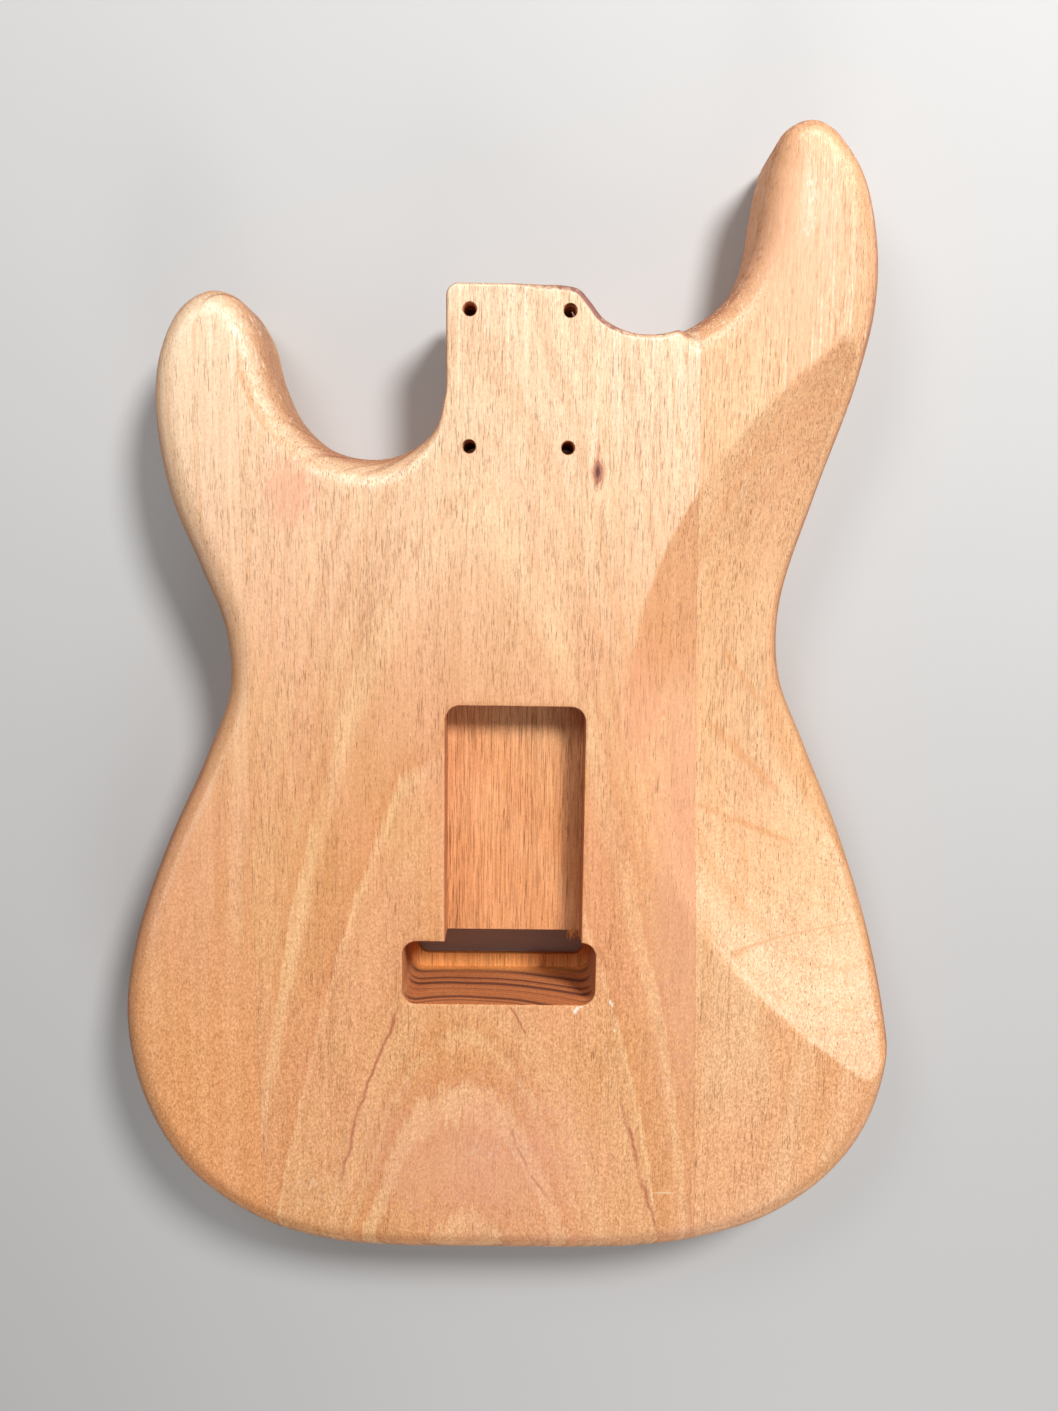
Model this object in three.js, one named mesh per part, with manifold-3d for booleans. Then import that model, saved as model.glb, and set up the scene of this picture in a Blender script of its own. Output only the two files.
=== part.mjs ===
// Bare wooden body of a double-cutaway electric guitar, glued up from three boards.
// It lies on its front face with its back up: X runs across (+X is the bass side),
// Y runs from the butt towards the neck, and Z runs from the front face to the back.
// Sizes are in millimetres. Before the last step, x is 0 on the centre line and y is 0 at the butt.

import * as THREE from 'three';
import { mergeVertices } from 'three/addons/utils/BufferGeometryUtils.js';
import Module from 'manifold-3d';

const wasm = await Module();
wasm.setup();

// Whole body
const thickness = 44.45;
const buttToHeelEnd = 400.5;
const bassHornReach = 62.5;
const bassReach = 160.3;
const trebleReach = 163.1;
const edgeRadius = 12.7;
const edgeRoomShare = 0.95;

// Heel, where the neck is bolted on
const neckHeelWidth = 56;
const neckSideClearance = 0.1;
const neckPocketLength = 76.2;
const neckPocketDepth = 15.9;
const neckPocketCornerRadius = 4.8;
const heelCornerRadius = 4.6;
const heelEdgeRadius = 1.6;
const squareEdgeOnTrebleSide = 16;
const roundoverRunInOnTrebleSide = 38;
const squareEdgeOnBassSide = 56;
const roundoverRunInOnBassSide = 5;

// Neck bolts
const boltHoleDiameter = 5;
const boltSpacingAcross = 38.1;
const boltSpacingAlong = 50.8;
const heelEndToFirstBolts = 9.8;

// Seams of the edge-glued boards, measured inwards from the waist of each side
const waistToTrebleSeamAtButt = 11.5;
const waistToTrebleSeamAtHeelEnd = 8.4;
const waistToBassSeamAtButt = 28.5;
const waistToBassSeamAtHeelEnd = 39.1;
const glueLineGap = 0.3;

// Bridge slot, with the tremolo block's pocket and the spring cavity behind it
const heelEndToBridgeSlot = 259.1;
const bridgeSlotLength = 74.6;
const bridgeSlotWidth = 20.6;
const bridgeSlotOffset = 5.7;
const bridgeSlotCornerRadius = 5;
const blockPocketLength = 79.7;
const blockPocketWidth = 26.7;
const blockPocketLedge = 3.4;
const springCavityLength = 97.7;
const springCavityWidth = 56.2;
const springCavityDepth = 15.9;
const routerRadius = 6;

// Pickup cavities, cut from the front
const heelEndToNeckPickup = 100.5;
const heelEndToMiddlePickup = 164.5;
const heelEndToBridgePickup = 214.5;
const narrowPickupLength = 90;
const narrowPickupWidth = 22;
const widePickupLength = 92;
const widePickupWidth = 40;
const pickupCavityDepth = 19;
const pickupCornerRadius = 8;
const wireChannelOffset = 24;
const wireChannelWidth = 14;
const wireChannelDepth = 16;

// Control cavity and jack recess, cut from the front on the treble side
const controlCavityDepth = 32;
const switchAcross = 61;
const switchUp = 211;
const firstPotAcross = 60;
const firstPotUp = 166;
const lastPotAcross = 79;
const lastPotUp = 96;
const controlCavityWidth = 38;
const jackUpperFromSide = 55.1;
const jackUpperUp = 74;
const jackLowerFromSide = 39.1;
const jackLowerUp = 50;
const jackRecessWidth = 22;
const jackRecessDepth = 28;
const jackWireHoleDiameter = 9.5;
const jackWireHoleHeight = 14;
const groundWireHoleDiameter = 5;
const groundWireHoleFromSpringCavityEnd = 20;
const groundWireHoleDrop = 13;

// Belly contour on the back and forearm contour on the front, both on the bass side
const bellyContourFromCentre = 44.7;
const bellyContourUp = 241;
const bellyContourHalfSpan = 218;
const bellyContourSag = 69;
const bellyContourCutHalfSpan = 172;
const bellyContourCutHeight = 62;
const bellyContourRun = 150;
const bellyContourTilt = THREE.MathUtils.degToRad(11.9);
const forearmContourAtButt = 48;
const forearmContourTopAcross = 112;
const forearmContourTopUp = 262;
const forearmContourWidth = 120;
const forearmContourHeight = 40;
const forearmContourTilt = THREE.MathUtils.degToRad(9.5);

// Cutters run past the surface that they cut by this much
const overrun = 6;

// Fineness of the curved surfaces
const sideSteps = 98;
const cornerSteps = 4;
const roundoverSteps = 4;
const holeSides = 16;
const contourSteps = 10;

const trebleWaistShare = 0.653;
const bassWaistShare = 0.6;
const heelHalfWidth = neckHeelWidth / 2 + neckSideClearance;
const trebleWaist = heelHalfWidth + trebleWaistShare * (trebleReach - heelHalfWidth);
const bassWaist = heelHalfWidth + bassWaistShare * (bassReach - heelHalfWidth);
const bodyLength = buttToHeelEnd + bassHornReach;
const bridgeSlotUp = buttToHeelEnd - heelEndToBridgeSlot;

// Stations of the outline, from the heel round each side to the straight end of the butt.
// The first share runs from the heel's side, 0, to the side's reach, 1, and the second
// from the butt, 0, to the heel end, 1, and then on to the tip of the long horn, 2.
const trebleOutlineShares = [
  [0, 0.93], [0.0015, 0.9], [0.034, 0.864], [0.121, 0.844], [0.229, 0.838], [0.34, 0.847],
  [0.445, 0.876], [0.503, 0.915], [0.539, 0.959], [0.599, 0.988], [0.673, 0.995], [0.759, 0.981],
  [0.827, 0.939], [0.848, 0.881], [0.81, 0.799], [0.729, 0.73], [0.662, 0.669], [trebleWaistShare, 0.608],
  [0.725, 0.542], [0.855, 0.447], [0.958, 0.35], [1, 0.261], [0.955, 0.17], [0.821, 0.089],
  [0.596, 0.0317], [0.37, 0.0075], [0.162, 0.001], [-0.023, 0],
];
const bassOutlineShares = [
  [-0.137, 1], [-0.092, 0.9998], [-0.044, 0.9965], [-0.012, 0.986], [0.033, 0.969], [0.116, 0.9575],
  [0.215, 0.958], [0.317, 0.973], [0.404, 0.999], [0.459, 1.224], [0.483, 1.536], [0.499, 1.736],
  [0.536, 1.925], [0.608, 2], [0.688, 1.944], [0.775, 1.712], [0.828, 1.296], [0.831, 0.986],
  [0.778, 0.904], [0.688, 0.808], [bassWaistShare, 0.7], [0.61, 0.628], [0.7, 0.558], [0.824, 0.466],
  [0.933, 0.362], [0.989, 0.275], [1, 0.218], [0.945, 0.146], [0.828, 0.0881], [0.635, 0.0397],
  [0.408, 0.0132], [0.181, 0.0022], [-0.023, 0],
];

function stationPoint(side, reach, [acrossShare, upShare]) {
  const across = heelHalfWidth + acrossShare * (reach - heelHalfWidth);
  const up = upShare <= 1 ? upShare * buttToHeelEnd : buttToHeelEnd + (upShare - 1) * bassHornReach;
  return new THREE.Vector3(side * across, up, 0);
}

// Radius of the rounded edge at a distance from the heel along one side
function edgeRadiusAt(distance, squareEdge, runIn) {
  const share = THREE.MathUtils.smoothstep(distance, squareEdge, squareEdge + runIn);
  return THREE.MathUtils.lerp(heelEdgeRadius, edgeRadius, share);
}

// One side of the outline, from the heel to the straight end of the butt
function sideOutline(side, reach, outlineShares, squareEdge, runIn) {
  const stations = outlineShares.map((shares) => stationPoint(side, reach, shares));
  const curve = new THREE.CatmullRomCurve3(stations, false, 'centripetal');
  const curveLength = curve.getLength();
  const points = [];
  for (let step = 0; step <= sideSteps; step++) {
    const along = step / sideSteps;
    const { x, y } = curve.getPointAt(along);
    points.push({ x, y, radius: edgeRadiusAt(along * curveLength, squareEdge, runIn) });
  }
  return points;
}

// The closed outline, anticlockwise seen from the back, each point with its edge radius
function bodyOutline() {
  const trebleRun = [squareEdgeOnTrebleSide, roundoverRunInOnTrebleSide];
  const bassRun = [squareEdgeOnBassSide, roundoverRunInOnBassSide];
  const treble = sideOutline(-1, trebleReach, trebleOutlineShares, ...trebleRun);
  const bass = sideOutline(1, bassReach, bassOutlineShares, ...bassRun).reverse();
  const outline = [...treble, ...bass];
  const centreX = -heelHalfWidth + heelCornerRadius;
  const centreY = buttToHeelEnd - heelCornerRadius;
  for (let step = 0; step <= cornerSteps; step++) {
    const angle = Math.PI / 2 + (step / cornerSteps) * (Math.PI / 2);
    const x = centreX + heelCornerRadius * Math.cos(angle);
    const y = centreY + heelCornerRadius * Math.sin(angle);
    outline.push({ x, y, radius: heelEdgeRadius });
  }
  return outline;
}

// Each outline point with the direction that points straight out of the body there
function withNormals(outline) {
  return outline.map((point, index) => {
    const before = outline[(index + outline.length - 1) % outline.length];
    const after = outline[(index + 1) % outline.length];
    const length = Math.hypot(after.x - before.x, after.y - before.y);
    return { ...point, outX: (after.y - before.y) / length, outY: (before.x - after.x) / length };
  });
}

// Radius of the largest circle that touches the outline from inside at one of its points
function innerRadiusAt(point, outline) {
  let radius = Infinity;
  for (const other of outline) {
    const x = point.x - other.x;
    const y = point.y - other.y;
    const depth = x * point.outX + y * point.outY;
    if (depth > 0) radius = Math.min(radius, (x * x + y * y) / (2 * depth));
  }
  return radius;
}

// The rounded edges are smaller where a narrow horn leaves less room for them
function withEdgeRoom(outline) {
  return outline.map((point) => {
    const room = edgeRoomShare * innerRadiusAt(point, outline);
    return { ...point, radius: Math.min(point.radius, room) };
  });
}

// A slab with the body's outline, rounded along both rims by each point's own radius
function roundedSlab() {
  const outline = withEdgeRoom(withNormals(bodyOutline()));
  const count = outline.length;
  const rows = [];
  for (let step = roundoverSteps; step >= 0; step--) rows.push({ step, back: false });
  for (let step = 0; step <= roundoverSteps; step++) rows.push({ step, back: true });
  const positions = [];
  for (const { step, back } of rows) {
    const angle = (step / roundoverSteps) * (Math.PI / 2);
    for (const point of outline) {
      const inset = point.radius * (1 - Math.cos(angle));
      const drop = point.radius * (1 - Math.sin(angle));
      const z = back ? thickness - drop : drop;
      positions.push(point.x - point.outX * inset, point.y - point.outY * inset, z);
    }
  }
  const indices = [];
  for (let row = 0; row < rows.length - 1; row++) {
    for (let column = 0; column < count; column++) {
      const next = (column + 1) % count;
      const low = row * count;
      const high = low + count;
      indices.push(low + column, low + next, high + next);
      indices.push(low + column, high + next, high + column);
    }
  }
  const lastRow = (rows.length - 1) * count;
  const rim = outline.map((point) => {
    return new THREE.Vector2(point.x - point.outX * point.radius, point.y - point.outY * point.radius);
  });
  for (const [a, b, c] of THREE.ShapeUtils.triangulateShape(rim, [])) {
    indices.push(lastRow + a, lastRow + b, lastRow + c);
    indices.push(a, c, b);
  }
  const geometry = new THREE.BufferGeometry();
  geometry.setAttribute('position', new THREE.Float32BufferAttribute(positions, 3));
  geometry.setIndex(indices);
  return solid(geometry);
}

// A closed mesh as a solid that can be joined and cut
function solid(geometry) {
  geometry.deleteAttribute('normal');
  geometry.deleteAttribute('uv');
  const merged = mergeVertices(geometry);
  const vertProperties = new Float32Array(merged.getAttribute('position').array);
  const triVerts = new Uint32Array(merged.getIndex().array);
  return new wasm.Manifold(new wasm.Mesh({ numProp: 3, vertProperties, triVerts }));
}

// A flat shape raised from one height to another
function plate(shape, low, high) {
  const settings = { depth: high - low, bevelEnabled: false, curveSegments: cornerSteps };
  return solid(new THREE.ExtrudeGeometry(shape, settings).translate(0, 0, low));
}

function roundedRectangle(left, right, bottom, top, radius) {
  const shape = new THREE.Shape();
  shape.moveTo(left + radius, bottom);
  shape.lineTo(right - radius, bottom);
  shape.absarc(right - radius, bottom + radius, radius, -Math.PI / 2, 0);
  shape.lineTo(right, top - radius);
  shape.absarc(right - radius, top - radius, radius, 0, Math.PI / 2);
  shape.lineTo(left + radius, top);
  shape.absarc(left + radius, top - radius, radius, Math.PI / 2, Math.PI);
  shape.lineTo(left, bottom + radius);
  shape.absarc(left + radius, bottom + radius, radius, Math.PI, 1.5 * Math.PI);
  return shape;
}

// A slot with round ends between two centres
function slotShape(from, to, width) {
  const heading = Math.atan2(to.y - from.y, to.x - from.x);
  const radius = width / 2;
  const shape = new THREE.Shape();
  shape.absarc(to.x, to.y, radius, heading - Math.PI / 2, heading + Math.PI / 2);
  shape.absarc(from.x, from.y, radius, heading + Math.PI / 2, heading + 1.5 * Math.PI);
  return shape;
}

// A round hole drilled from one point to another
function drilledHole(from, to, diameter) {
  const direction = new THREE.Vector3().subVectors(to, from);
  const drill = new THREE.CylinderGeometry(diameter / 2, diameter / 2, direction.length(), holeSides);
  const turn = new THREE.Quaternion();
  turn.setFromUnitVectors(THREE.Object3D.DEFAULT_UP, direction.normalize());
  drill.applyQuaternion(turn);
  drill.translate((from.x + to.x) / 2, (from.y + to.y) / 2, (from.z + to.z) / 2);
  return solid(drill);
}

function neckPocket() {
  const bottom = buttToHeelEnd - neckPocketLength;
  const top = buttToHeelEnd + neckPocketCornerRadius + overrun;
  const right = heelHalfWidth + neckSideClearance;
  const shape = roundedRectangle(-right, right, bottom, top, neckPocketCornerRadius);
  return plate(shape, -overrun, neckPocketDepth);
}

function neckBoltHoles() {
  const holes = [];
  for (const side of [-1, 1]) {
    for (const row of [0, 1]) {
      const x = (side * boltSpacingAcross) / 2;
      const y = buttToHeelEnd - heelEndToFirstBolts - row * boltSpacingAlong;
      const low = new THREE.Vector3(x, y, -overrun);
      holes.push(drilledHole(low, new THREE.Vector3(x, y, thickness + overrun), boltHoleDiameter));
    }
  }
  return holes;
}

function bridgeSlot() {
  const left = -bridgeSlotOffset - bridgeSlotLength / 2;
  const bottom = bridgeSlotUp - bridgeSlotWidth;
  const shape = roundedRectangle(left, left + bridgeSlotLength, bottom, bridgeSlotUp, bridgeSlotCornerRadius);
  return plate(shape, -overrun, thickness + overrun);
}

function blockPocket() {
  const left = -bridgeSlotOffset - blockPocketLength / 2;
  const bottom = bridgeSlotUp - blockPocketWidth;
  const shape = roundedRectangle(left, left + blockPocketLength, bottom, bridgeSlotUp, routerRadius);
  return plate(shape, blockPocketLedge, thickness + overrun);
}

// Its lower corners lie inside the block pocket, so that it opens into that pocket at full width
function springCavity() {
  const right = springCavityWidth / 2;
  const bottom = bridgeSlotUp - bridgeSlotWidth / 2;
  const top = bridgeSlotUp + springCavityLength;
  const shape = roundedRectangle(-right, right, bottom, top, routerRadius);
  return plate(shape, thickness - springCavityDepth, thickness + overrun);
}

function pickupCavity(fromHeelEnd, length, width) {
  const right = length / 2;
  const bottom = buttToHeelEnd - fromHeelEnd - width / 2;
  const shape = roundedRectangle(-right, right, bottom, bottom + width, pickupCornerRadius);
  return plate(shape, -overrun, pickupCavityDepth);
}

function pickupCavities() {
  const top = new THREE.Vector2(-wireChannelOffset, buttToHeelEnd - heelEndToNeckPickup);
  const bottom = new THREE.Vector2(-wireChannelOffset, buttToHeelEnd - heelEndToBridgePickup);
  return [
    pickupCavity(heelEndToNeckPickup, narrowPickupLength, narrowPickupWidth),
    pickupCavity(heelEndToMiddlePickup, narrowPickupLength, narrowPickupWidth),
    pickupCavity(heelEndToBridgePickup, widePickupLength, widePickupWidth),
    plate(slotShape(top, bottom, wireChannelWidth), -overrun, wireChannelDepth),
  ];
}

function controlCavity() {
  const switchEnd = new THREE.Vector2(-switchAcross, switchUp);
  const firstPot = new THREE.Vector2(-firstPotAcross, firstPotUp);
  const lastPot = new THREE.Vector2(-lastPotAcross, lastPotUp);
  return [
    plate(slotShape(switchEnd, firstPot, controlCavityWidth), -overrun, controlCavityDepth),
    plate(slotShape(firstPot, lastPot, controlCavityWidth), -overrun, controlCavityDepth),
  ];
}

function jackRecess() {
  const upper = new THREE.Vector2(jackUpperFromSide - trebleReach, jackUpperUp);
  const lower = new THREE.Vector2(jackLowerFromSide - trebleReach, jackLowerUp);
  const from = new THREE.Vector3(upper.x, upper.y, jackWireHoleHeight);
  const to = new THREE.Vector3(-lastPotAcross, lastPotUp, jackWireHoleHeight);
  return [
    plate(slotShape(upper, lower, jackRecessWidth), -overrun, jackRecessDepth),
    drilledHole(from, to, jackWireHoleDiameter),
  ];
}

// Drilled down from the treble wall of the spring cavity into the control cavity
function groundWireHole() {
  const up = bridgeSlotUp + springCavityLength - groundWireHoleFromSpringCavityEnd;
  const start = springCavityWidth / 2 - groundWireHoleDiameter;
  const from = new THREE.Vector3(-start, up, thickness - springCavityDepth / 2);
  const to = new THREE.Vector3(-switchAcross, switchUp, from.z - groundWireHoleDrop);
  return drilledHole(from, to, groundWireHoleDiameter);
}

// A hollow trough, an ellipse in section, that runs down and out from the crease to the bass edge
function bellyContour() {
  const endCosine = bellyContourCutHalfSpan / bellyContourHalfSpan;
  const endAngle = Math.acos(endCosine);
  const shape = new THREE.Shape();
  shape.absellipse(0, bellyContourSag, bellyContourHalfSpan, bellyContourSag, Math.PI + endAngle, -endAngle);
  shape.lineTo(bellyContourCutHalfSpan, bellyContourCutHeight);
  shape.lineTo(-bellyContourCutHalfSpan, bellyContourCutHeight);
  const settings = { depth: bellyContourRun, bevelEnabled: false, curveSegments: contourSteps };
  const trough = new THREE.ExtrudeGeometry(shape, settings);
  const sine = Math.sin(bellyContourTilt);
  const cosine = Math.cos(bellyContourTilt);
  const across = new THREE.Vector3(0, 1, 0);
  const upwards = new THREE.Vector3(sine, 0, cosine);
  const outwards = new THREE.Vector3(cosine, 0, -sine);
  const placing = new THREE.Matrix4().makeBasis(across, upwards, outwards);
  placing.setPosition(bellyContourFromCentre, bellyContourUp, thickness);
  return solid(trough.applyMatrix4(placing));
}

// A flat slope that rises from its crease on the front face towards the bass side of the butt
function forearmContour() {
  const crease = new THREE.Vector2(forearmContourTopAcross - forearmContourAtButt, forearmContourTopUp);
  const length = crease.length() + edgeRadius * 2 + overrun * 2;
  const block = new THREE.BoxGeometry(length, forearmContourWidth, forearmContourHeight);
  block.translate(0, -forearmContourWidth / 2, -forearmContourHeight / 2);
  block.rotateX(-forearmContourTilt);
  block.rotateZ(crease.angle());
  const middleAcross = (forearmContourAtButt + forearmContourTopAcross) / 2;
  return solid(block.translate(middleAcross, forearmContourTopUp / 2, 0));
}

// The whole body in one piece, before it is parted along the glue seams
function machinedBlank() {
  const cutters = [
    neckPocket(), ...neckBoltHoles(), bridgeSlot(), blockPocket(), springCavity(), ...pickupCavities(),
    ...controlCavity(), ...jackRecess(), groundWireHole(), bellyContour(), forearmContour(),
  ];
  return cutters.reduce((blank, cutter) => blank.subtract(cutter), roundedSlab());
}

// The room of one board, between two lines that each lean from the butt to the heel end
function boardRoom(left, right) {
  const ends = [-overrun, bodyLength + overrun];
  const along = ({ atButt, atHeelEnd }, y) => atButt + ((atHeelEnd - atButt) * y) / buttToHeelEnd;
  const shape = new THREE.Shape();
  shape.moveTo(along(left, ends[0]), ends[0]);
  shape.lineTo(along(right, ends[0]), ends[0]);
  shape.lineTo(along(right, ends[1]), ends[1]);
  shape.lineTo(along(left, ends[1]), ends[1]);
  return plate(shape, -overrun, thickness + overrun);
}

function seamLine(atButt, atHeelEnd, shift) {
  return { atButt: atButt + shift, atHeelEnd: atHeelEnd + shift };
}

function trebleSeam(shift) {
  return seamLine(waistToTrebleSeamAtButt, waistToTrebleSeamAtHeelEnd, shift - trebleWaist);
}

function bassSeam(shift) {
  return seamLine(-waistToBassSeamAtButt, -waistToBassSeamAtHeelEnd, shift + bassWaist);
}

function boardMesh(name, board, colour) {
  const { vertProperties, triVerts } = board.getMesh();
  const geometry = new THREE.BufferGeometry();
  geometry.setAttribute('position', new THREE.BufferAttribute(vertProperties, 3));
  geometry.setIndex(new THREE.BufferAttribute(triVerts, 1));
  geometry.computeVertexNormals();
  const material = new THREE.MeshStandardMaterial({ color: colour, roughness: 0.55, metalness: 0 });
  const mesh = new THREE.Mesh(geometry, material);
  mesh.name = name;
  return mesh;
}

function guitarBody() {
  const blank = machinedBlank();
  const half = glueLineGap / 2;
  const beyondTreble = seamLine(-trebleReach, -trebleReach, -overrun);
  const beyondBass = seamLine(bassReach, bassReach, overrun);
  const trebleRoom = boardRoom(beyondTreble, trebleSeam(-half));
  const centreRoom = boardRoom(trebleSeam(half), bassSeam(-half));
  const bassRoom = boardRoom(bassSeam(half), beyondBass);
  const body = new THREE.Group();
  body.add(boardMesh('treble_side_board', blank.intersect(trebleRoom), 0xe3ab74));
  body.add(boardMesh('centre_board', blank.intersect(centreRoom), 0xe2a06b));
  body.add(boardMesh('bass_side_board', blank.intersect(bassRoom), 0xf0bb85));
  return body;
}

// The origin is moved to the middle of the body's outline, on the plane of the front face
const body = guitarBody();
const box = new THREE.Box3().setFromObject(body);
body.position.set(-(box.min.x + box.max.x) / 2, -(box.min.y + box.max.y) / 2, 0);

export default body;
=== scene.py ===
import math
import random
from functools import reduce

import bpy
import numpy as np
from bpy.types import NodeSocket
from mathutils import Matrix, Vector
from mathutils.geometry import delaunay_2d_cdt


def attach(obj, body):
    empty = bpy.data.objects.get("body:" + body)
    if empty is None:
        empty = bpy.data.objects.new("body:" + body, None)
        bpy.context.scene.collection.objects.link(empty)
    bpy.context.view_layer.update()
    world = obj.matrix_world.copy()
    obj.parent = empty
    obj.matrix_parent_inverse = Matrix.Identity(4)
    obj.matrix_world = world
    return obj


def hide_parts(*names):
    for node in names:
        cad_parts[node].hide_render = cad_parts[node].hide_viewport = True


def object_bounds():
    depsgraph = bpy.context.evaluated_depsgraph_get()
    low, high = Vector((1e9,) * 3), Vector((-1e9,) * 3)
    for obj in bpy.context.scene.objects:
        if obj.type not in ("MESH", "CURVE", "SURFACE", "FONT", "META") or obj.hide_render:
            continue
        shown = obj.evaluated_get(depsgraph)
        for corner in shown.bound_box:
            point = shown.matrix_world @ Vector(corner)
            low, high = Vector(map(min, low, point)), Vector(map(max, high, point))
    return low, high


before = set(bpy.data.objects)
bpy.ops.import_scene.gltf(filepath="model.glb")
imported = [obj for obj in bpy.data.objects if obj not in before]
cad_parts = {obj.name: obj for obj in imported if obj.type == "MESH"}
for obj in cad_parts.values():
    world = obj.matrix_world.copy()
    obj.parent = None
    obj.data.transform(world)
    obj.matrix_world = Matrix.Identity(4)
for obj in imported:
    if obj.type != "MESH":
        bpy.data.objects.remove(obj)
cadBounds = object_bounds()
print("frame loaded")

# Shapes are worked out in millimetres: x from the centre line (bass side +), y from the butt,
# z from the front face up to the back. Adding middle gives the frame's place, in millimetres still.
body = {
    "thickness": 44.45,
    "heelEnd": 400.5,
    "hornPastHeel": 62.5,
    "heelHalfWidth": 28.1,
    "heelCornerRadius": 4.6,
    "heelCornerSteps": 10,
    "edgeRadius": 12.7,
    "middle": (1.3206, -231.4497, 0),
    "columnSpacing": 1.4,
    "buttColumns": 35,
    "heelColumns": 14,
    "wornColumns": 4,
    "roundoverSteps": 12,
    "gridSpacing": 4.0,
}

# Each side of the body: which way from the centre line and how far, the radius of the edge at the
# heel, how long that edge lasts and how long it takes to become the rounded edge. The outline is given
# as shares across (0 heel side, 1 widest) and up (0 butt, 1 heel end, 2 horn tip).
trebleSide = {
    "way": -1, "reach": 163.1, "heelEdge": 1.6, "squareFor": 16, "runIn": 38, "runInSpacing": 1.4,
    "outline": [
        (0, .93), (.0015, .9), (.034, .864), (.121, .844), (.229, .838), (.34, .847), (.445, .876),
        (.503, .915), (.539, .959), (.599, .988), (.673, .995), (.759, .981), (.827, .939),
        (.848, .881), (.81, .799), (.729, .73), (.662, .669), (.653, .608), (.725, .542),
        (.855, .447), (.958, .35), (1, .261), (.955, .17), (.821, .089), (.596, .0317),
        (.37, .0075), (.162, .001), (-.023, 0),
    ],
}
bassSide = {
    "way": 1, "reach": 160.3, "heelEdge": 3.0, "squareFor": 56, "runIn": 5, "runInSpacing": .5,
    "outline": [
        (-.137, 1), (-.092, .9998), (-.044, .9965), (-.012, .986), (.033, .969), (.116, .9575),
        (.215, .958), (.317, .973), (.404, .999), (.459, 1.224), (.483, 1.536), (.499, 1.736),
        (.536, 1.925), (.608, 2), (.688, 1.944), (.775, 1.712), (.828, 1.296), (.831, .986),
        (.778, .904), (.688, .808), (.6, .7), (.61, .628), (.7, .558), (.824, .466), (.933, .362),
        (.989, .275), (1, .218), (.945, .146), (.828, .0881), (.635, .0397), (.408, .0132),
        (.181, .0022), (-.023, 0),
    ],
}


def smoothCurve(stations, perSpan=40):
    # a centripetal Catmull-Rom curve through the stations, run on straight at both ends
    points = [2 * stations[0] - stations[1], *stations, 2 * stations[-1] - stations[-2]]
    curve = []
    for i in range(1, len(points) - 2):
        p0, p1, p2, p3 = points[i - 1:i + 3]
        d0, d1, d2 = [np.sum((b - a) ** 2) ** .25 for a, b in ((p0, p1), (p1, p2), (p2, p3))]
        t1 = ((p1 - p0) / d0 - (p2 - p0) / (d0 + d1) + (p2 - p1) / d1) * d1
        t2 = ((p2 - p1) / d1 - (p3 - p1) / (d1 + d2) + (p3 - p2) / d2) * d1
        for t in np.arange(perSpan) / perSpan:
            c2 = -3 * p1 + 3 * p2 - 2 * t1 - t2
            c3 = 2 * p1 - 2 * p2 + t1 + t2
            curve.append(p1 + t1 * t + c2 * t * t + c3 * t ** 3)
    curve.append(stations[-1])
    return np.array(curve)


def sideOfBody(side):
    # points down one side with the radius of the edge at each, closer together where it changes fast
    heel, runIn = body["heelHalfWidth"], side["runIn"]
    stations = []
    for across, up in side["outline"]:
        y = min(up, 1) * body["heelEnd"] + max(up - 1, 0) * body["hornPastHeel"]
        stations.append(np.array([side["way"] * (heel + across * (side["reach"] - heel)), y]))
    curve = smoothCurve(stations)
    length = np.concatenate([[0], np.cumsum(np.linalg.norm(np.diff(curve, axis=0), axis=1))])
    places = [0.0]
    while places[-1] < length[-1]:
        atRunIn = abs(places[-1] - side["squareFor"] - runIn / 2) < runIn / 2 + 4
        places.append(places[-1] + (side["runInSpacing"] if atRunIn else body["columnSpacing"]))
    places = np.array(places) * length[-1] / places[-1]
    x, y = [np.interp(places, length, curve[:, axis]) for axis in (0, 1)]
    share = np.clip((places - side["squareFor"]) / runIn, 0, 1)
    share = share * share * (3 - 2 * share)
    return np.column_stack([x, y, side["heelEdge"] + (body["edgeRadius"] - side["heelEdge"]) * share])


def bodyOutline():
    treble, bass = sideOfBody(trebleSide), sideOfBody(bassSide)[::-1]
    buttX = np.linspace(treble[-1][0], bass[0][0], body["buttColumns"] + 2)[1:-1]
    butt = [(x, 0, body["edgeRadius"]) for x in buttX]
    radius = body["heelCornerRadius"]
    corner = []
    for angle in np.radians(np.linspace(90, 180, body["heelCornerSteps"] + 1)):
        x = -body["heelHalfWidth"] + radius * (1 + math.cos(angle))
        corner.append((x, body["heelEnd"] + radius * (math.sin(angle) - 1), trebleSide["heelEdge"]))
    topX = np.linspace(bass[-1][0], corner[0][0], body["heelColumns"] + 2)[1:-1]
    edges = (bassSide["heelEdge"], trebleSide["heelEdge"])
    topEdge = np.interp(range(body["heelColumns"]), (0, body["wornColumns"]), edges)
    top = [(x, body["heelEnd"], edge) for x, edge in zip(topX, topEdge)]
    return np.vstack([treble, butt, bass, top, corner])


def outwardNormals(points):
    along = np.roll(points, -1, axis=0) - np.roll(points, 1, axis=0)
    along /= np.linalg.norm(along, axis=1)[:, None]
    return np.column_stack([along[:, 1], -along[:, 0]])


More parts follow.
